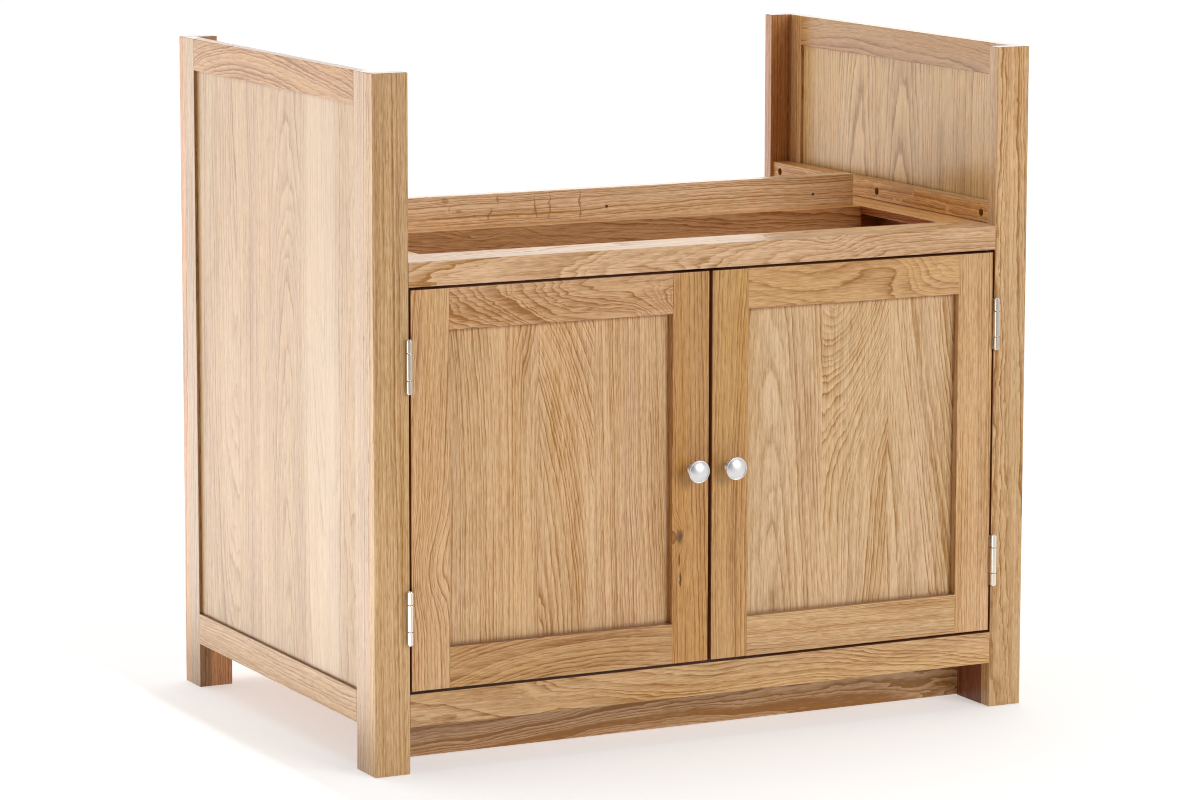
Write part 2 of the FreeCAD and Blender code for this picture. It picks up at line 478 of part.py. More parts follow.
frame_leaves, pins, frame_screws = [], [], []
for sd in (LEFT, RIGHT):
    door_leaves, door_screws = [], []
    for hz in HINGE_Z:
        z0, z1 = hz - HINGE_H / 2, hz + HINGE_H / 2
        k0, k1 = z0 + KNUCKLE_END, z1 - KNUCKLE_END
        ax, ay = AXIS_X, -BARREL_OUT
        bore = rod(sd.x(ax), ay, z0 - 5, PIN_R + PIN_CLEAR, HINGE_H + 10, (0, 0, 1))
        # frame leaf
        lx0, lx1 = OPEN_X0, OPEN_X0 + LEAF_T
        s = sd.box(lx0, lx1, 0, LEAF_D, z0, z1)
        for a, b in ((z0, k0), (k1, z1)):
            s = fuse(s, sd.box(lx0, lx1, ay, 0.5, a, b), knuckle(sd.x(ax), ay, a, b))
        s = cut(s, bore)
        for dz in LEAF_SCREW_DZ:
            s = cut(s, sd.rod_x(lx1 + 1.0, LEAF_SCREW_Y, hz + dz, 1.8, 3.0))
            s = cut(s, sd.rod_x(lx1 + 1.0, LEAF_SCREW_Y, hz + dz, 3.3, 1.8))
            frame_screws.append(screw_x(sd, lx1 - 0.1, LEAF_SCREW_Y, hz + dz, 3.2, 0.7, 1.6, 13.0))
        frame_leaves.append(s)
        # door leaf
        dx0, dx1 = DOOR_X0 - LEAF_T, DOOR_X0
        s = sd.box(dx0, dx1, 0, LEAF_D, z0, z1)
        a, b = k0 + KNUCKLE_GAP, k1 - KNUCKLE_GAP
        s = fuse(s, sd.box(dx0, dx1, ay, 0.5, a, b), knuckle(sd.x(ax), ay, a, b))
        s = cut(s, bore)
        for dz in LEAF_SCREW_DZ:
            s = cut(s, sd.rod_x(dx0 - 1.0, LEAF_SCREW_Y, hz + dz, 1.8, 3.0, towards_outside=False))
            s = cut(s, sd.rod_x(dx0 - 1.0, LEAF_SCREW_Y, hz + dz, 3.3, 1.8, towards_outside=False))
            door_screws.append(screw_x(sd, dx0 + 0.1, LEAF_SCREW_Y, hz + dz, 3.2, 0.7, 1.6, 13.0, towards_outside=False))
        door_leaves.append(s)
        # pin with a flat cap at each end
        p = rod(sd.x(ax), ay, z0 - 0.1, PIN_R, HINGE_H + 0.2, (0, 0, 1))
        for zc in (z0 - PIN_CAP_T, z1):
            p = p.fuse(rod(sd.x(ax), ay, zc, PIN_CAP_R, PIN_CAP_T, (0, 0, 1)))
        pins.append(p.removeSplitter())
    save(sd.name + "_door_hinge_leaves", *door_leaves)
    save(sd.name + "_door_hinge_screws", *door_screws)
save("frame_hinge_leaves", *frame_leaves)
save("frame_hinge_screws", *frame_screws)
save("hinge_pins", *pins)

# ---------------------------------------------------------------------------
# twin magnetic catch under the front bearer, where the doors meet
# ---------------------------------------------------------------------------
cy0 = DOOR_T + 1.2 + 0.6
czt = SEAT_Z - FRONT_BEARER_T
s = box(CX - CATCH_W / 2, CX + CATCH_W / 2, cy0, cy0 + CATCH_D, czt - CATCH_H, czt)
s = ease(s, R_DOOR, dict(x=CX - CATCH_W / 2, y=cy0), dict(x=CX + CATCH_W / 2, y=cy0), dict(y=cy0, z=czt - CATCH_H),
         dict(x=CX - CATCH_W / 2, z=czt - CATCH_H), dict(x=CX + CATCH_W / 2, z=czt - CATCH_H))
save("magnetic_catch", s)

print(len(count), "nodes,", sum(count.values()), "solids")
print("origin shift", CX, CY, "hinge axis x", AXIS_X, "hinge z", HINGE_Z, "door", DOOR_X0, DOOR_X1, DOOR_Z0, DOOR_Z1, "knob x", KNOB_X)
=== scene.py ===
import math

import bpy
from mathutils import Matrix, Vector


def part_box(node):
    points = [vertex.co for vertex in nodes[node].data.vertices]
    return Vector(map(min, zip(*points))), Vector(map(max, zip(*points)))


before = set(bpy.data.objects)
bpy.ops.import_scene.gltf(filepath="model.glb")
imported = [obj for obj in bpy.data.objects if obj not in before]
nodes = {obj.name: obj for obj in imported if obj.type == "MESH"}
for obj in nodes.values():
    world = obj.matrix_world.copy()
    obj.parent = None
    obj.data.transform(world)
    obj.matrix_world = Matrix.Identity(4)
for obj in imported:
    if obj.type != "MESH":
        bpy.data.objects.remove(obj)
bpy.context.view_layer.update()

scene = bpy.context.scene


# ---------------------------------------------------------------- node helpers
class Tree:
    """Small helpers that add shader nodes and return the socket they give."""

    def __init__(self, tree):
        self.t = tree
        self.count = 0

    def new(self, kind):
        n = self.t.nodes.new(kind)
        n.location = ((self.count % 12) * 190, -(self.count // 12) * 260)
        self.count += 1
        return n

    def put(self, socket, value):
        if hasattr(value, "links"):
            self.t.links.new(value, socket)
        else:
            socket.default_value = value

    def math(self, op, a, b=None, c=None, clamp=False):
        n = self.new("ShaderNodeMath")
        n.operation = op
        n.use_clamp = clamp
        self.put(n.inputs[0], a)
        if b is not None:
            self.put(n.inputs[1], b)
        if c is not None:
            self.put(n.inputs[2], c)
        return n.outputs[0]

    def vmath(self, op, a, b=None, c=None):
        n = self.new("ShaderNodeVectorMath")
        n.operation = op
        self.put(n.inputs[0], a)
        if b is not None:
            self.put(n.inputs[1], b)
        if c is not None:
            self.put(n.inputs[2], c)
        return n.outputs["Value"] if op in ("LENGTH", "DOT_PRODUCT", "DISTANCE") else n.outputs["Vector"]

    def split(self, v):
        n = self.new("ShaderNodeSeparateXYZ")
        self.put(n.inputs[0], v)
        return n.outputs[0], n.outputs[1], n.outputs[2]

    def join(self, x, y, z):
        n = self.new("ShaderNodeCombineXYZ")
        for i, s in enumerate((x, y, z)):
            self.put(n.inputs[i], s)
        return n.outputs[0]

    def noise(self, v, scale=1.0, detail=2.0, rough=0.5, distort=0.0):
        n = self.new("ShaderNodeTexNoise")
        n.noise_dimensions = "3D"
        self.put(n.inputs["Vector"], v)
        n.inputs["Scale"].default_value = scale
        n.inputs["Detail"].default_value = detail
        n.inputs["Roughness"].default_value = rough
        n.inputs["Distortion"].default_value = distort
        return n.outputs[0], n.outputs[1]

    def noise1(self, w, scale=1.0, detail=1.0):
        n = self.new("ShaderNodeTexNoise")
        n.noise_dimensions = "1D"
        self.put(n.inputs["W"], w)
        n.inputs["Scale"].default_value = scale
        n.inputs["Detail"].default_value = detail
        return n.outputs[0]

    def white1(self, w):
        n = self.new("ShaderNodeTexWhiteNoise")
        n.noise_dimensions = "1D"
        self.put(n.inputs["W"], w)
        return n.outputs["Value"]

    def remap(self, x, a, b, c=0.0, d=1.0, smooth=False):
        n = self.new("ShaderNodeMapRange")
        n.interpolation_type = "SMOOTHSTEP" if smooth else "LINEAR"
        n.clamp = True
        self.put(n.inputs[0], x)
        for i, s in enumerate((a, b, c, d)):
            self.put(n.inputs[1 + i], s)
        return n.outputs[0]

    def ramp(self, x, stops, mode="EASE"):
        n = self.new("ShaderNodeValToRGB")
        n.color_ramp.interpolation = mode
        e = n.color_ramp.elements
        while len(e) < len(stops):
            e.new(0.5)
        for el, (p, v) in zip(e, stops):
            el.position = p
            el.color = (v, v, v, 1) if not hasattr(v, "__len__") else (*v, 1)
        self.put(n.inputs[0], x)
        return n.outputs[0]

    def mixf(self, f, a, b):
        n = self.new("ShaderNodeMix")
        n.data_type = "FLOAT"
        self.put(n.inputs[0], f)
        self.put(n.inputs[2], a)
        self.put(n.inputs[3], b)
        return n.outputs[0]

    def mixv(self, f, a, b):
        n = self.new("ShaderNodeMix")
        n.data_type = "VECTOR"
        self.put(n.inputs[0], f)
        self.put(n.inputs[4], a)
        self.put(n.inputs[5], b)
        return n.outputs[1]

    def mixc(self, f, a, b, blend="MIX"):
        n = self.new("ShaderNodeMix")
        n.data_type = "RGBA"
        n.blend_type = blend
        n.clamp_factor = True
        self.put(n.inputs[0], f)
        self.put(n.inputs[6], a if hasattr(a, "links") else (*a, 1))
        self.put(n.inputs[7], b if hasattr(b, "links") else (*b, 1))
        return n.outputs[2]

    def hsv(self, colour, hue=0.5, sat=1.0, val=1.0):
        n = self.new("ShaderNodeHueSaturation")
        self.put(n.inputs["Hue"], hue)
        self.put(n.inputs["Saturation"], sat)
        self.put(n.inputs["Value"], val)
        self.put(n.inputs["Color"], colour)
        return n.outputs[0]

    def bump(self, height, strength, distance):
        n = self.new("ShaderNodeBump")
        n.inputs["Strength"].default_value = strength
        n.inputs["Distance"].default_value = distance
        self.put(n.inputs["Height"], height)
        return n.outputs[0]


def blank(name):
    m = bpy.data.materials.new(name)
    m.use_nodes = True
    m.node_tree.nodes.clear()
    t = Tree(m.node_tree)
    out = t.new("ShaderNodeOutputMaterial")
    b = t.new("ShaderNodeBsdfPrincipled")
    m.node_tree.links.new(b.outputs[0], out.inputs[0])
    return m, t, b


# ---------------------------------------------------------------- oak
# A board is a cut through growth rings. u is across the board's face, v through its thickness and w along the grain,
# all from the board's middle, in metres. The rings are round the pith, which leans and bends a little, so the same
# rings run over the face, the edges and the end grain.
LIGHT = (0.830, 0.520, 0.275)
DARK = (0.390, 0.155, 0.020)
PORE = (0.280, 0.105, 0.005)


def oak(name, axes, centre, boards, knots=(), marks=(), tone=(1, 1, 1), lines=1.0, wander=1.0, ripple=1.0,
        flame=0.0, pores=1.0, fleck=0.0, rough=0.36, seed=0.0, broad=1.0, edge=(0.0, 0.0), span=None, ends=0.0, inner=None, seam=None, coat=0.6,
        sap=None, shade=None, outer=None, fore=None, cap=None, skin=None, half=0.0):
    """boards: list of (upper limit of u mm, pith u mm, pith v mm, lean u, lean v, bend u, bend v, ring mm, value).
    knots: (u mm, w mm, radius mm, push mm, darkness); marks: (u mm, w mm, half width mm, half length mm, darkness).
    flame: how far, mm, the rings are crinkled; edge: how much the board's two edges are darkened as painted shade,
    where they look into a gap or recess, between the two places along it that span gives, and there they also lose
    their lacquer and shine in the same measure; ends: the same on its two ends; inner: half width and half length, mm,
    of a panel's open face and how much it is darkened next to its frame, as painted shade; seam: a place across the
    board, mm, where it meets another, and how dark;
    coat: how thick the lacquer is; sap: middle and half width, mm, of a paler streak along the board, a painted
    highlight, and how pale;
    shade: how far, mm, the board reaches each way along the grain and its value at those two ends;
    outer: a colour that the face on the far side of the board is tinted by; fore: the same for
    its near side; cap: the same for its upper edge; these three tints make one face lighter or darker for how light
    falls on it, painted light and shade; skin: how deep, mm, from the front the painted shade on the edges stays full
    and what share of it is left behind that; half: half the board's thickness."""
    m, t, bsdf = blank(name)
    tc = t.new("ShaderNodeTexCoord")
    xyz = dict(zip("xyz", t.split(t.vmath("SUBTRACT", tc.outputs["Object"], tuple(centre)))))
    u, v, w = (xyz[a] for a in axes)
    p = t.join(u, v, w)

    # which board of a glued panel this is, and where its pith is
    def params(i, b):
        s = seed * 3.17 + i * 5.71
        return ((b[1] * 0.001, b[2] * 0.001, b[8]), (b[3], b[4], 1000.0 / b[7]), (b[5], b[6], 0.0),
                (s, s * 1.31 + 2.3, s * 0.73 + 7.9))

    pith, lean, bend, s = params(0, boards[0])
    for i in range(1, len(boards)):
        step = t.math("GREATER_THAN", u, boards[i - 1][0] * 0.001)
        np_, nl, nb, ns = params(i, boards[i])
        pith, lean = t.mixv(step, pith, np_), t.mixv(step, lean, nl)
        bend, s = t.mixv(step, bend, nb), t.mixv(step, s, ns)
    if len(boards) > 1:
        per_metre, value = t.split(lean)[2], t.split(pith)[2]
    else:
        per_metre, value = lean[2], pith[2]

    def at(fu, fv, fw):
        return t.vmath("MULTIPLY_ADD", p, (fu, fv, fw), s)

    def swing(c, amount):
        return t.vmath("MULTIPLY_ADD", c, (amount * 2, amount * 2, 0), (-amount, -amount, 0))

    # slow wander of the trunk, ripples, and the small tremble of each line
    _, c1 = t.noise(at(8, 8, 2.4), detail=2)
    _, c2 = t.noise(at(46, 46, 11), detail=2)
    _, c3 = t.noise(at(190, 190, 48), detail=2)
    q = t.vmath("ADD", p, swing(c1, 0.016 * wander))
    q = t.vmath("ADD", q, swing(c2, 0.0030 * ripple))
    q = t.vmath("ADD", q, swing(c3, 0.0011))
    if flame:
        _, c4 = t.noise(at(120, 120, 15), detail=1.5)
        q = t.vmath("ADD", q, swing(c4, 0.001 * flame))
    q = t.vmath("SUBTRACT", q, pith)
    q = t.vmath("MULTIPLY_ADD", t.join(w, w, 0.0), lean, q)
    w2 = t.math("MULTIPLY", w, w)
    q = t.vmath("MULTIPLY_ADD", t.join(w2, w2, 0.0), bend, q)
    r = t.vmath("LENGTH", t.vmath("MULTIPLY", q, (1, 1, 0)))

    core = None
    for ku, kw, rad, push, dark in knots:
        du = t.math("MULTIPLY_ADD", u, 1000.0 / rad, -ku / rad)
        dw = t.math("MULTIPLY_ADD", w, 1000.0 / (rad * 1.7), -kw / (rad * 1.7))
        d2 = t.math("ADD", t.math("MULTIPLY", du, du), t.math("MULTIPLY", dw, dw))
        g = t.math("EXPONENT", t.math("MULTIPLY", d2, -0.16))
        r = t.math("MULTIPLY_ADD", g, push * 0.001, r)
        if dark > 0:
            wob, _ = t.noise(at(260, 260, 160), detail=3)
            k = t.math("MULTIPLY", t.remap(t.math("ADD", d2, t.math("MULTIPLY", wob, 1.6)), 0.75, 2.3, 1, 0, True), dark)
            core = k if core is None else t.math("MAXIMUM", core, k)
    stain = None
    for ku, kw, ru, rw, dark in marks:
        wob, _ = t.noise(at(85, 85, 60), detail=2)
        wob = t.math("MULTIPLY_ADD", wob, 2.0, -1.0)
        du = t.math("ADD", t.math("MULTIPLY_ADD", u, 1000.0 / ru, -ku / ru), t.math("MULTIPLY", wob, 3.4 / max(ru, 2.4)))
        dw = t.math("ADD", t.math("MULTIPLY_ADD", w, 1000.0 / rw, -kw / rw), t.math("MULTIPLY", wob, 8.0 / max(rw, 1.2)))
        d2 = t.math("ADD", t.math("MULTIPLY", du, du), t.math("MULTIPLY", dw, dw))
        k = t.math("MULTIPLY", t.remap(d2, 0.25, 1.5, 1, 0, True), dark)
        stain = k if stain is None else t.math("MAXIMUM", stain, k)

    turns = t.math("MULTIPLY", r, per_metre)
    uneven = t.noise1(turns, scale=0.31, detail=1)
    turns = t.math("MULTIPLY_ADD", uneven, 3.0, turns)
    ringno = t.math("FLOOR", turns)
    f = t.math("FRACT", turns)
    ringtone = t.white1(t.math("ADD", ringno, seed * 11.3 + 0.37))
    fade, _ = t.noise(at(34, 34, 5), detail=2)
    strength = t.math("MULTIPLY", t.mixf(ringtone, 0.30, 1.0), t.remap(fade, 0.30, 0.70, 0.50, 1.25))
    # each ring is a soft band with a row of open pores at its start
    soft = t.math("MULTIPLY", t.remap(f, 0.0, 0.20, 0, 1, True), t.remap(f, 0.20, 0.90, 1, 0, True))
    dash, _ = t.noise(at(620, 620, 52), detail=1)
    early = t.math("MULTIPLY", t.remap(f, 0.02, 0.09, 0, 1, True), t.remap(f, 0.12, 0.34, 1, 0, True))
    early = t.math("MULTIPLY", early, t.remap(dash, 0.34, 0.60, 0.55, 1.0))
    line = t.math("MULTIPLY", t.math("MULTIPLY_ADD", early, 0.66, t.math("MULTIPLY", soft, 0.52)), strength)

    # fibres, open pores and slow changes of tone
    fib, _ = t.noise(at(400, 400, 8), detail=3, rough=0.66)
    fib = t.remap(fib, 0.30, 0.70, -1, 1)
    fine, _ = t.noise(at(760, 760, 58), detail=1.5)
    fine = t.remap(fine, 0.28, 0.72, -1, 1)
    warm, _ = t.noise(at(38, 38, 3.2), detail=2)
    warm = t.remap(warm, 0.50, 0.72, 0, 1, True)
    por, _ = t.noise(at(900, 900, 105), detail=1.5, rough=0.6)
    por = t.remap(por, 0.54, 0.70, 0, 1)
    por = t.math("MULTIPLY", por, t.math("MULTIPLY_ADD", early, 0.60, 0.40))
    slow, slowc = t.noise(at(21, 21, 1.7), detail=3)
    band = t.math("MULTIPLY_ADD", t.noise1(turns, scale=0.13, detail=1), 0.44, -0.22)

    k = t.math("MULTIPLY_ADD", line, lines, t.math("MULTIPLY_ADD", fib, 0.23, 0.20))
    k = t.math("MULTIPLY_ADD", fine, 0.25, k)
    k = t.math("MULTIPLY_ADD", warm, 0.18 * broad, k)
    k = t.math("MULTIPLY_ADD", slow, -0.36 * broad, t.math("ADD", k, 0.18 * broad))
    k = t.math("ADD", k, t.math("MULTIPLY", band, broad), clamp=True)
    col = t.mixc(k, tuple(LIGHT[i] * tone[i] for i in range(3)), tuple(DARK[i] * tone[i] for i in range(3)))
    col = t.mixc(t.math("MULTIPLY", por, 0.55 * pores), col, tuple(PORE[i] * tone[i] for i in range(3)))
    if fleck:
        fl, _ = t.noise(at(95, 95, 34), detail=2, distort=0.6)
        fl = t.remap(fl, 0.60, 0.70, 0, fleck, True)
        col = t.mixc(fl, col, tuple(min(1.0, LIGHT[i] * tone[i] * 1.12) for i in range(3)))
    # painted highlight: a paler streak along the board
    if sap:
        near = t.math("ABSOLUTE", t.math("SUBTRACT", u, sap[0] * 0.001))
        near = t.remap(near, sap[1] * 0.00045, sap[1] * 0.001, sap[2], 0, True)
        col = t.mixc(near, col, (0.720, 0.560, 0.400))
    _, sg, sb = t.split(slowc)
    val = t.math("MULTIPLY_ADD", slow, 0.05 * broad, 1.0 - 0.025 * broad)
    if hasattr(value, "links") or value != 1.0:
        val = t.math("MULTIPLY", val, value)
    if shade:
        val = t.math("MULTIPLY", val, t.remap(w, shade[0] * -0.001, shade[0] * 0.001, shade[1], shade[2]))
    hue = t.math("MULTIPLY_ADD", sg, 0.014, 0.493)
    sat = t.math("MULTIPLY_ADD", sb, 0.22, 0.89)
    col = t.hsv(col, hue, sat, val)
    if stain is not None:
        col = t.mixc(stain, col, (0.300, 0.115, 0.018))
        col = t.mixc(t.remap(stain, 0.68, 1.0, 0, 1), col, (0.080, 0.026, 0.006))
    if core is not None:
        col = t.mixc(core, col, (0.100, 0.036, 0.010))

    # painted light and shade: tints that make one face lighter or darker for how light falls on it, darkened edges and
    # ends where they look into a gap or recess, and a panel darkened next to its frame; besides these, end grain takes
    # the lacquer darker
    normal = dict(zip("xyz", t.split(tc.outputs["Normal"])))
    # painted light and shade: one face of the board is tinted lighter or darker for how light falls on it
    if cap:
        col = t.mixc(t.remap(normal[axes[0]], 0.5, 0.9, 0, 1, True), col, cap, "MULTIPLY")
    if outer:
        col = t.mixc(t.remap(normal[axes[1]], 0.5, 0.9, 0, 1, True), col, outer, "MULTIPLY")
    if fore:
        col = t.mixc(t.remap(normal[axes[1]], -0.9, -0.5, 1, 0, True), col, fore, "MULTIPLY")
    end = t.remap(t.math("ABSOLUTE", normal[axes[2]]), 0.55, 0.9, 0, 1, True)
    col = t.mixc(t.math("MULTIPLY", end, 0.55), col, (0.52, 0.44, 0.36), "MULTIPLY")
    # painted shade: the faces of edges and ends that look into a gap or recess are darkened, and in the same measure
    # lose their lacquer and shine
    painted_shade = t.math("MULTIPLY", end, ends) if ends else None
    for sign, amount in zip((-1.0, 1.0), edge):
        if amount:
            e = t.remap(t.math("MULTIPLY", normal[axes[0]], sign), 0.75, 0.95, 0, amount, True)
            if span:
                e = t.math("MULTIPLY", e, t.math("GREATER_THAN", w, span[0] * 0.001))
                e = t.math("MULTIPLY", e, t.math("LESS_THAN", w, span[1] * 0.001))
            if skin:
                front = skin[0] * 0.001 - half
                e = t.math("MULTIPLY", e, t.remap(v, front, front + 0.005, 1.0, skin[1], True))
            painted_shade = e if painted_shade is None else t.math("MAXIMUM", painted_shade, e)
    if painted_shade is not None:
        col = t.mixc(painted_shade, col, (0.36, 0.14, 0.08), "MULTIPLY")
    # painted shade: a panel's open face is darkened next to its frame
    if inner:
        du = t.math("SUBTRACT", inner[0] * 0.001, t.math("ABSOLUTE", u))
        dw = t.math("SUBTRACT", inner[1] * 0.001, t.math("ABSOLUTE", w))
        near = t.remap(t.math("MINIMUM", du, dw), 0.0, 0.0055, inner[2], 0, True)
        col = t.mixc(near, col, (0.50, 0.34, 0.20), "MULTIPLY")
    if seam:
        near = t.remap(t.math("ABSOLUTE", t.math("SUBTRACT", u, seam[0] * 0.001)), 0.0004, 0.0020, seam[1], 0, True)
        col = t.mixc(near, col, (0.30, 0.15, 0.08), "MULTIPLY")

    t.put(bsdf.inputs["Base Color"], col)
    shine = t.math("MULTIPLY_ADD", por, 0.16, t.math("MULTIPLY_ADD", line, 0.06, rough - 0.02), clamp=True)
    t.put(bsdf.inputs["Roughness"], shine if painted_shade is None else t.mixf(painted_shade, shine, 1.0))
    height = t.math("MULTIPLY_ADD", por, -0.75, t.math("MULTIPLY_ADD", early, -0.40, t.math("MULTIPLY", fine, 0.10)))
    t.put(bsdf.inputs["Normal"], t.bump(height, 0.08, 0.0004))
    bsdf.inputs["Specular IOR Level"].default_value = 0.2
    t.put(bsdf.inputs["Coat Weight"], coat if painted_shade is None else t.mixf(painted_shade, coat, 0.0))
    bsdf.inputs["Coat Roughness"].default_value = 0.24
    bsdf.inputs["Coat IOR"].default_value = 1.5
    return m


# how much darker or warmer each board is than the palest ones.
# Some entries also hold painted light and shade: front_foot_blocks, bearer_battens, mid_bearer and the two rear stiles
# are darkened as painted shade, for they stand in shade under and inside the cabinet, and the two bearers and
# right_side_panel are made lighter as painted light
TONE_AND_PAINTED_LIGHT = {
    "left_side_panel": (0.67, 0.70, 0.68), "left_side_front_stile": (0.70, 0.72, 0.72),
    "left_side_rear_stile": (0.63, 0.67, 0.67), "left_side_top_rail": (0.68, 0.60, 0.48),
    "left_side_bottom_rail": (0.73, 0.72, 0.61), "face_stile_left": (0.79, 0.81, 0.74),
    "face_stile_right": (0.85, 0.87, 0.82), "face_top_rail": (0.92, 0.95, 1.05),
    "face_bottom_rail": (0.80, 0.80, 0.71), "left_door_hinge_stile": (0.87, 0.87, 0.82),
    "left_door_meeting_stile": (0.73, 0.63, 0.42), "left_door_top_rail": (0.82, 0.77, 0.72),
    "left_door_bottom_rail": (0.69, 0.63, 0.49), "left_door_panel": (0.89, 0.93, 0.96),
    "right_door_hinge_stile": (0.93, 0.93, 0.86), "right_door_meeting_stile": (0.76, 0.68, 0.48),
    "right_door_top_rail": (0.85, 0.80, 0.63), "right_door_bottom_rail": (0.84, 0.85, 0.78),
    "right_door_panel": (0.92, 1.01, 1.10), "plinth": (0.72, 0.74, 0.77),
    "front_foot_blocks": (0.30, 0.17, 0.14), "sink_stop_rail": (1.12, 1.27, 1.46),
    "mid_bearer": (0.70, 0.59, 0.48), "right_bearer": (1.24, 1.16, 0.84),
    "right_sink_cleat": (1.03, 0.95, 0.68), "right_side_panel": (1.03, 1.10, 0.87),
    "right_side_top_rail": (0.80, 0.71, 0.44), "rear_stile_right": (0.79, 0.66, 0.57),
    "rear_foot_blocks": (0.84, 0.74, 0.66), "bearer_battens": (0.30, 0.21, 0.16),
    "base_board": (0.80, 0.74, 0.68), "left_bearer": (1.24, 1.16, 0.84),
    "left_sink_cleat": (1.03, 0.95, 0.68), "rear_stile_left": (0.79, 0.66, 0.57),
}


def wood(node, axes, pith=(0, 60), lean=(0.0, 0.04), bend=(0.0, 0.0), ring=3.4, value=1.0, boards=None, **kw):
    lo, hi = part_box(node)
    c = (lo + hi) / 2
    half = (hi - lo)["xyz".index(axes[1])] / 2
    if boards is None:
        boards = [(9999, *pith, *lean, *bend, ring, value)]
    mat = oak("oak_" + node, axes, c, boards, tone=TONE_AND_PAINTED_LIGHT.get(node, (1.0, 1.0, 1.0)), half=half, **kw)
    mesh = nodes[node].data
    mesh.materials.clear()
    mesh.materials.append(mat)


FINE = dict(wander=0.30, ripple=0.55)   # straight, quiet boards
LOW, HIGH = (0.85, 0.25), (0.25, 0.85)    # painted shade on the edges of the door boards, which look into the gaps round the doors: more on the outer one
EDGE_SHADE_DEPTH = (7.0, 0.30)                       # the painted shade is full near the front and weaker behind

# on the boards below, edge and ends darken the faces that look into a gap or recess: painted shade
# front frame
wood("face_stile_left", "xyz", pith=(150, 60), lean=(0.004, 0.01), ring=3.1, seed=1, lines=0.8, marks=[(-4, 318, 2.0, 3.0, 0.3)],
     edge=(0, 0.9), span=(-323, 166), skin=EDGE_SHADE_DEPTH, **FINE)
wood("face_stile_right", "xyz", pith=(-44, 134), lean=(0.068, 0.016), bend=(0.01, 0.03), ring=2.4, seed=2, wander=0.4, ripple=0.6, lines=0.9, shade=(420, 0.88, 1.12),
     edge=(0.9, 0), span=(-323, 166), skin=EDGE_SHADE_DEPTH)
# its upper face is tinted lighter: painted sheen
wood("face_top_rail", "zyx", pith=(-14, 52), lean=(0.03, 0.10), bend=(0.05, 0.10), ring=3.0, seed=3, wander=1.0, knots=[(10, 170, 7, 7, 0.0)], edge=(0.9, 0), cap=(1.12, 1.20, 1.27))
wood("face_bottom_rail", "zyx", pith=(60, 60), lean=(-0.06, 0.08), bend=(0.20, 0.0), ring=4.0, seed=4, wander=1.2, shade=(404, 0.90, 1.08), edge=(0, 0.9))

# left side
wood("left_side_front_stile", "yxz", pith=(150, 40), lean=(0.006, 0.01), ring=3.2, seed=5, marks=[(-10, 105, 3.4, 4.2, 0.80), (-8, -340, 2.0, 2.6, 0.35)], coat=0.85, **FINE)
wood("left_side_rear_stile", "yxz", pith=(-150, 50), lean=(0.006, 0.01), ring=3.0, seed=6, edge=(0.4, 0), coat=0.85, **FINE)
wood("left_side_top_rail", "zxy", pith=(-60, 44), lean=(0.04, 0.12), bend=(0.5, 0.4), ring=4.6, seed=7, wander=1.2, ripple=1.3, lines=1.35, coat=0.35, edge=(0.4, 0))
wood("left_side_bottom_rail", "zxy", pith=(-80, 60), lean=(0.05, 0.06), ring=3.8, seed=8, wander=0.6, edge=(0, 0.35))
# on this panel the paler streak near the front is a painted highlight, the darkening next to the frame is painted
# shade, and the rear board is darker partly in its own tone and partly as painted shade beside the rear stile
wood("left_side_panel", "yxz", seed=9, wander=0.75, inner=(249, 351.5, 0.4), lines=0.75, sap=(-142, 62, 0.36), boards=[
    (-150, -240, 60, 0.02, 0.02, 0.0, 0.0, 3.4, 1.00), (-82, -160, 46, 0.03, 0.05, 0.0, 0.0, 3.6, 1.00),
    (12, -36, -46, 0.01, 0.085, 0.0, 0.02, 4.4, 0.99), (120, 190, 60, -0.03, 0.04, 0.0, 0.0, 4.0, 1.00),
    (214, 120, -60, 0.02, -0.05, 0.0, 0.05, 4.0, 0.98), (9999, 330, 50, 0.01, 0.02, 0.0, 0.0, 3.6, 0.95)])

# right side
wood("right_side_front_stile", "yxz", pith=(150, -40), lean=(0.006, 0.01), ring=3.2, seed=10, **FINE)
wood("right_side_rear_stile", "yxz", pith=(-150, -50), lean=(0.006, 0.01), ring=3.0, seed=11, **FINE)
wood("right_side_top_rail", "zxy", pith=(-50, 44), lean=(0.04, 0.10), bend=(0.3, 0.3), ring=4.0, seed=12, wander=1.2)
wood("right_side_bottom_rail", "zxy", pith=(-70, -60), lean=(0.02, 0.06), ring=3.6, seed=13, wander=0.6)
# its tone makes the inner face lighter and warmer as painted light, and the outer face is tinted back cooler and darker
wood("right_side_panel", "yxz", seed=14, wander=0.6, ripple=1.3, lines=1.1, outer=(0.86, 0.80, 0.98), boards=[
    (-78, -330, 60, 0.02, 0.02, 0.0, 0.0, 7.0, 1.0), (46, -10, -26, 0.02, 0.085, 0.0, 0.0, 6.4, 1.0),
    (152, 98, -20, 0.01, 0.075, 0.0, 0.0, 5.6, 0.99), (9999, 330, 44, -0.03, 0.06, 0.0, 0.0, 6.0, 0.98)])

# back
wood("rear_stile_left", "xyz", pith=(-150, -60), lean=(0.006, 0.01), ring=3.0, seed=15, **FINE)
wood("rear_stile_right", "xyz", pith=(150, -60), lean=(0.006, 0.01), ring=3.0, seed=16, **FINE)
wood("rear_top_rail", "zyx", pith=(4, -56), lean=(0.03, 0.05), ring=3.6, seed=17)
wood("rear_bottom_rail", "zyx", pith=(-4, -56), lean=(0.03, 0.06), ring=3.6, seed=18)

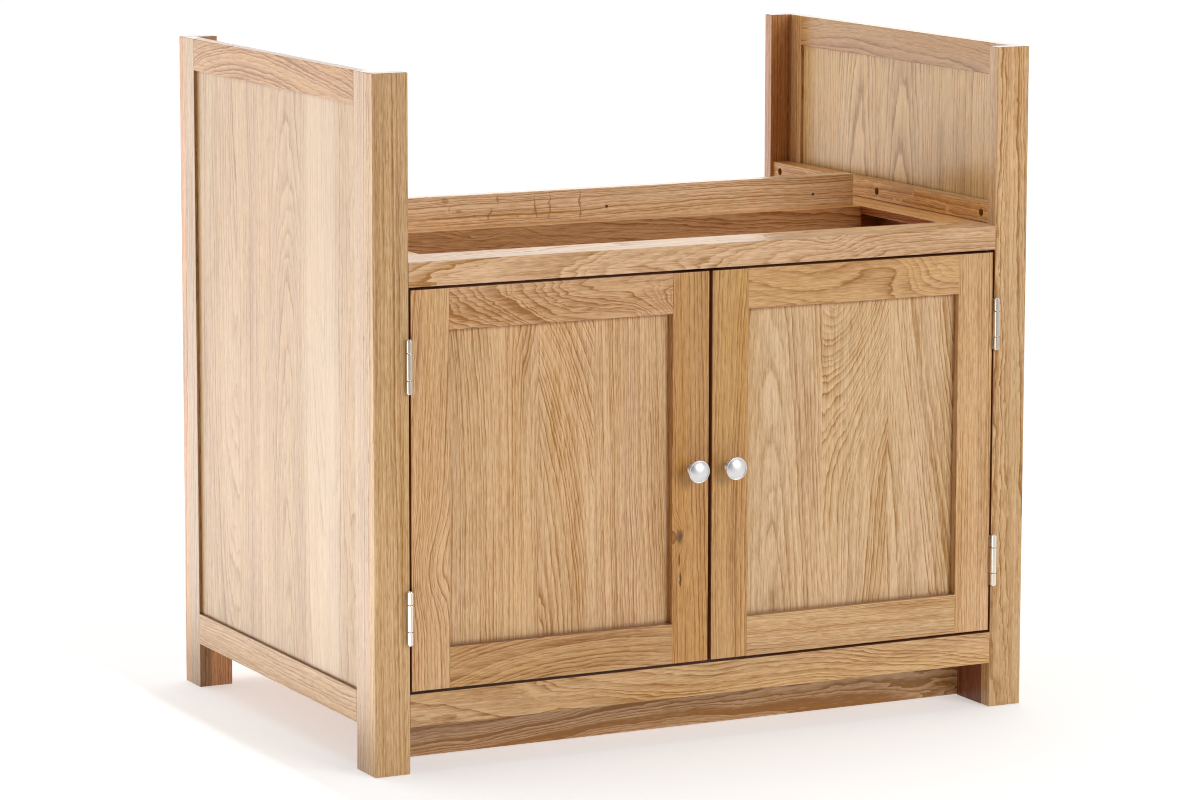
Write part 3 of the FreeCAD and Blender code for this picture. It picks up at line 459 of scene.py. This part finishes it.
# platform
# its upper face is tinted lighter: painted sheen
wood("front_bearer", "yzx", pith=(0, -50), lean=(0.02, 0.05), ring=3.4, seed=19, wander=0.7, outer=(1.18, 1.28, 1.36))
wood("left_bearer", "xzy", pith=(60, -46), lean=(0.03, 0.05), ring=3.4, seed=20, wander=0.7, edge=(0, 0.8))
wood("right_bearer", "xzy", pith=(-60, -46), lean=(0.03, 0.05), ring=3.4, seed=21, wander=0.7, edge=(0.8, 0))
# its darker tone is painted shade on its front, and its upper edge is tinted lighter as painted light
wood("mid_bearer", "zyx", pith=(40, 48), lean=(0.02, 0.05), ring=3.2, seed=22, wander=0.7, coat=0.15, cap=(1.75, 1.90, 1.70), knots=[(4, -140, 7, 9, 0.10)])
wood("sink_stop_rail", "zyx", pith=(-90, 40), lean=(0.01, 0.03), ring=3.2, seed=23, wander=0.6, marks=[
    (32, -227, 4.6, 5.2, 0.45), (22, -219, 5.0, 1.2, 0.45), (19, -205, 2.8, 4.2, 0.48), (11, -186, 2.0, 2.6, 0.45),
    (13, -164, 7.0, 1.3, 0.60), (30, -153, 6.5, 1.3, 0.55), (17, -101, 15.0, 1.4, 0.66), (19, -81, 18.0, 1.2, 0.66),
    (18, -38, 19.0, 1.3, 0.66), (7, -128, 2.0, 2.0, 0.3)])
# its near face is tinted dark: painted shade
wood("cross_rail", "zyx", pith=(40, -48), lean=(0.02, 0.05), ring=3.2, seed=24, wander=0.7, coat=0.1, fore=(0.26, 0.17, 0.12))
wood("bearer_battens", "xzy", pith=(40, 40), lean=(0.02, 0.02), ring=3.0, seed=25, wander=0.5, coat=0.1)
CLEAT = (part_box("right_sink_cleat")[1].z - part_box("right_sink_cleat")[0].z) * 500.0
wood("left_sink_cleat", "zxy", pith=(-60, -30), lean=(0.02, 0.02), ring=3.0, seed=26, wander=0.6, fleck=0.6, seam=(-CLEAT, 0.9), coat=0.2)
wood("right_sink_cleat", "zxy", pith=(-60, 30), lean=(0.02, 0.02), ring=3.0, seed=27, wander=0.6, fleck=0.6, seam=(-CLEAT, 0.9), coat=0.2)

# base
wood("base_board", "yzx", seed=28, boards=[
    (-170, -230, -50, 0.02, 0.05, 0.0, 0.0, 3.8, 1.0), (-40, -90, -40, -0.03, 0.06, 0.0, 0.0, 3.8, 0.96),
    (110, 40, -44, 0.03, 0.05, 0.0, 0.0, 3.8, 1.02), (9999, 190, -48, -0.02, 0.05, 0.0, 0.0, 3.8, 0.98)])
wood("base_battens", "zyx", pith=(40, 40), lean=(0.02, 0.02), ring=3.0, seed=29, wander=0.5)
wood("plinth", "zyx", pith=(-161, 319), lean=(-0.325, -0.156), bend=(0.01, 0.16), ring=3.0, seed=30, wander=1.2, lines=1.5)
wood("front_foot_blocks", "xyz", pith=(100, 60), lean=(0.02, 0.02), ring=3.2, seed=31, wander=0.5, coat=0.2)
wood("rear_foot_blocks", "xyz", pith=(100, 60), lean=(0.02, 0.02), ring=3.2, seed=32, wander=0.5)

# left door
wood("left_door_hinge_stile", "xyz", pith=(-90, 44), lean=(-0.01, 0.03), bend=(0.02, 0.10), ring=3.4, seed=33, wander=0.5, ripple=0.8,
     knots=[(14, -84, 12, 13, 0.0), (-6, -110, 9, 6, 0.0)], ends=0.9, edge=LOW, skin=EDGE_SHADE_DEPTH)
wood("left_door_meeting_stile", "xyz", pith=(110, 60), lean=(0.012, 0.02), ring=3.2, seed=34, wander=0.45, ripple=0.7,
     knots=[(-15, -84, 5.6, 12, 0.90)], marks=[(-15, -112, 1.8, 9.0, 0.90), (-13, -136, 1.8, 11.0, 0.95)], ends=0.9, edge=HIGH, skin=EDGE_SHADE_DEPTH)
wood("left_door_top_rail", "zyx", pith=(8, 46), lean=(0.10, 0.26), bend=(0.3, 0.2), ring=3.0, seed=35, wander=1.2, ripple=1.0, flame=2.2,
     knots=[(-16, 108, 16, 26, 0.0)], edge=HIGH)
wood("left_door_bottom_rail", "zyx", pith=(-79, 49), lean=(-0.029, 0.07), bend=(0.15, -0.73), ring=4.4, seed=36, wander=0.5, ripple=0.8, lines=1.1, edge=LOW)
# the panel is darkened next to its frame: painted shade
wood("left_door_panel", "xyz", seed=37, wander=0.5, inner=(149.6, 191.5, 0.55), boards=[
    (-27, 21, 20, 0.077, -0.246, 0.36, 0.04, 4.1, 1.0), (48, -49, 19, 0.204, 0.075, 0.59, 0.60, 5.2, 1.0),
    (9999, 190, 30, 0.015, 0.01, 0.0, 0.0, 3.3, 1.0)])

# right door
wood("right_door_meeting_stile", "xyz", pith=(-67, 29), lean=(-0.05, -0.06), bend=(-0.10, 0.08), ring=4.4, seed=38, wander=0.35, ripple=0.6, ends=0.9, edge=LOW, skin=EDGE_SHADE_DEPTH)
wood("right_door_hinge_stile", "xyz", pith=(140, 60), lean=(0.004, 0.01), ring=2.6, seed=39, lines=0.8, ends=0.9, edge=HIGH, skin=EDGE_SHADE_DEPTH, **FINE)
wood("right_door_top_rail", "zyx", pith=(31, 120), lean=(-0.01, 0.06), bend=(-1.2, 0.5), ring=4.4, seed=40, wander=1.4, ripple=1.2,
     lines=0.65, knots=[(-6, 30, 14, 10, 0.0), (12, 62, 10, 8, 0.0)], edge=HIGH)
wood("right_door_bottom_rail", "zyx", pith=(120, 50), lean=(0.01, 0.02), ring=2.7, seed=41, lines=0.8, wander=0.4, ripple=0.7, edge=LOW)
# the panel is darkened next to its frame: painted shade
wood("right_door_panel", "xyz", seed=42, wander=0.45, lines=0.9, inner=(149.6, 191.5, 0.55), boards=[
    (-40, -110, -30, 0.03, 0.07, 0.0, 0.0, 5.2, 1.0), (55, -62, 83, -0.219, 0.076, 0.15, 1.65, 4.6, 1.0),
    (9999, -258, 295, 0.457, 0.345, -0.38, -0.08, 5.4, 1.0)])


# ---------------------------------------------------------------- metal and plastic
def metal(name, colour, rough):
    m, t, b = blank(name)
    tc = t.new("ShaderNodeTexCoord")
    n1, _ = t.noise(tc.outputs["Object"], scale=320.0, detail=3, rough=0.6)
    n2, _ = t.noise(tc.outputs["Object"], scale=70.0, detail=2)
    k = t.math("MULTIPLY_ADD", n1, 0.20, t.math("MULTIPLY", n2, 0.25), clamp=True)
    t.put(b.inputs["Base Color"], t.mixc(k, colour, tuple(c * 0.93 for c in colour)))
    t.put(b.inputs["Roughness"], t.math("MULTIPLY_ADD", n1, 0.02, rough - 0.01))
    b.inputs["Metallic"].default_value = 1.0
    return m


nickel = metal("satin_nickel", (0.78, 0.775, 0.78), 0.44)
# the hinge metal's warm tint is a painted reflection of the oak beside it
hinge_nickel = metal("hinge_nickel", (0.82, 0.75, 0.66), 0.17)
zinc = metal("zinc_steel", (0.60, 0.59, 0.56), 0.38)
# the cleat screws are near black as painted shade, for their heads sit in shadow down their holes
screw_shade_metal = metal("screw_steel_painted_shade", (0.060, 0.040, 0.028), 0.50)

m, t, b = blank("catch_plastic")
tc = t.new("ShaderNodeTexCoord")
n1, _ = t.noise(tc.outputs["Object"], scale=1500.0, detail=2)
n2, _ = t.noise(tc.outputs["Object"], scale=60.0, detail=2)
t.put(b.inputs["Base Color"], t.mixc(n2, (0.10, 0.055, 0.030), (0.070, 0.038, 0.020)))
t.put(b.inputs["Roughness"], t.math("MULTIPLY_ADD", n1, 0.2, 0.38))
t.put(b.inputs["Normal"], t.bump(n1, 0.12, 0.0002))
catch = m

for name, obj in nodes.items():
    if name.startswith("oak_"):
        continue
    finish = None
    if name.endswith("_knob"):
        finish = nickel
    elif "hinge_leaves" in name or name == "hinge_pins":
        finish = hinge_nickel
    elif name == "cleat_screws":
        finish = screw_shade_metal
    elif name.endswith("screws") or name.endswith("_screw") or name.endswith("strike"):
        finish = zinc
    elif name == "magnetic_catch":
        finish = catch
    if finish is not None:
        obj.data.materials.clear()
        obj.data.materials.append(finish)


# ---------------------------------------------------------------- floor
def plane(name, size, z):
    me = bpy.data.meshes.new(name)
    h = size / 2
    me.from_pydata([(-h, -h, z), (h, -h, z), (h, h, z), (-h, h, z)], [], [(0, 1, 2, 3)])
    o = bpy.data.objects.new(name, me)
    scene.collection.objects.link(o)
    return o


floor = plane("floor", 120.0, -0.0003)
m, t, b = blank("studio_floor")
tc = t.new("ShaderNodeTexCoord")
n1, _ = t.noise(tc.outputs["Object"], scale=0.8, detail=3)
# the white sweep ends in front of the cabinet, where the studio floor is a little greyer
sweep = t.remap(t.split(tc.outputs["Object"])[1], -2.1, -0.65, 0, 1, True)
t.put(b.inputs["Base Color"], t.mixc(sweep, (0.50, 0.50, 0.50), t.mixc(n1, (0.78, 0.78, 0.78), (0.82, 0.82, 0.82))))
b.inputs["Roughness"].default_value = 0.9
b.inputs["Specular IOR Level"].default_value = 0.0
b.inputs["Emission Color"].default_value = (1, 1, 1, 1)
# painted light: the floor glows as well as being lit, so it reads white, and beside the cabinet's left side it glows
# strongly enough to light that side from below
far = t.remap(t.split(tc.outputs["Object"])[1], 0.6, 5.0, 0.45, 0.70, True)
left = t.remap(t.split(tc.outputs["Object"])[0], -0.66, -0.44, 1.65, 0, True)
t.put(b.inputs["Emission Strength"], t.mixf(sweep, 0.08, t.math("MAXIMUM", far, left)))
floor.data.materials.append(m)


# ---------------------------------------------------------------- light
# a white studio: bright behind and at both sides, dim overhead and straight in front, a soft key in front on the right
world = bpy.data.worlds.new("studio")
scene.world = world
world.use_nodes = True
t = Tree(world.node_tree)
bg = world.node_tree.nodes["Background"]
x, y, z = t.split(t.new("ShaderNodeTexCoord").outputs["Generated"])
back = t.remap(y, -0.30, 0.40, 0, 1, True)
low = t.remap(z, 0.05, 0.70, 1, 0, True)
right = t.remap(x, -0.1, 0.6, 0, 1, True)
front_value = t.mixf(t.remap(z, 0.12, 0.60, 0, 1, True), 0.90, 0.10)
away = t.remap(t.vmath("DOT_PRODUCT", t.join(x, y, z), (-0.449, -0.881, 0.146)), 0.78, 0.92, 1, 0, True)
front_value = t.mixf(away, 0.08, front_value)
back_value = t.math("MULTIPLY_ADD", t.math("MULTIPLY", low, right), 0.95, t.mixf(low, 0.42, 1.20))
bg.inputs[0].default_value = (1.0, 1.0, 1.0, 1)
t.put(bg.inputs[1], t.mixf(back, front_value, back_value))


def softbox(name, at, to, w, h, radiance, colour=(1, 1, 1)):
    l = bpy.data.lights.new(name, "AREA")
    l.shape = "RECTANGLE"
    l.size, l.size_y = w, h
    l.color = colour
    l.energy = radiance * math.pi * w * h   # watts that give this radiance from the panel
    o = bpy.data.objects.new(name, l)
    scene.collection.objects.link(o)
    o.location = at
    d = Vector(to) - Vector(at)
    o.rotation_euler = d.to_track_quat("-Z", "Y").to_euler()
    o.visible_camera = False
    return o


softbox("key", (2.0, -5.3, 2.6), (0.0, 0.0, 0.45), 3.2, 2.5, 6.1)
softbox("left_back_panel", (-2.4, 2.3, 1.35), (-0.4, 0.1, 0.30), 2.6, 1.0, 0.6)
softbox("left_back_sky", (-2.0, 2.2, 3.2), (-1.4, 1.4, 0.0), 2.6, 2.6, 0.35)
softbox("top_soft", (0.3, 1.2, 4.4), (0.2, 0.6, 0.0), 4.5, 4.5, 1.1)


# ---------------------------------------------------------------- camera
az, el, roll = math.radians(26.977), math.radians(-8.383), math.radians(0.110)
fwd = Vector((math.sin(az) * math.cos(el), math.cos(az) * math.cos(el), math.sin(el)))
right = Vector((math.cos(az), -math.sin(az), 0.0))
up = right.cross(fwd)
r2 = math.cos(roll) * right + math.sin(roll) * up
u2 = -math.sin(roll) * right + math.cos(roll) * up
cam = bpy.data.cameras.new("camera")
cam.sensor_fit = "HORIZONTAL"
cam.sensor_width = 36.0
cam.lens = 4641.3 * 36.0 / 1200.0
cam.shift_x, cam.shift_y = 0.0, -0.05
cam.clip_end = 300.0
cam_obj = bpy.data.objects.new("camera", cam)
scene.collection.objects.link(cam_obj)
rot = Matrix((r2, u2, -fwd)).transposed().to_4x4()
cam_obj.matrix_world = Matrix.Translation((-2.6555, -5.2072, 1.3211)) @ rot
scene.camera = cam_obj

scene.view_settings.view_transform = "Standard"
scene.view_settings.look = "None"
scene.view_settings.exposure = 0.0
scene.view_settings.gamma = 1.0
scene.cycles.denoising_prefilter = "NONE"
scene.cycles.filter_width = 1.1
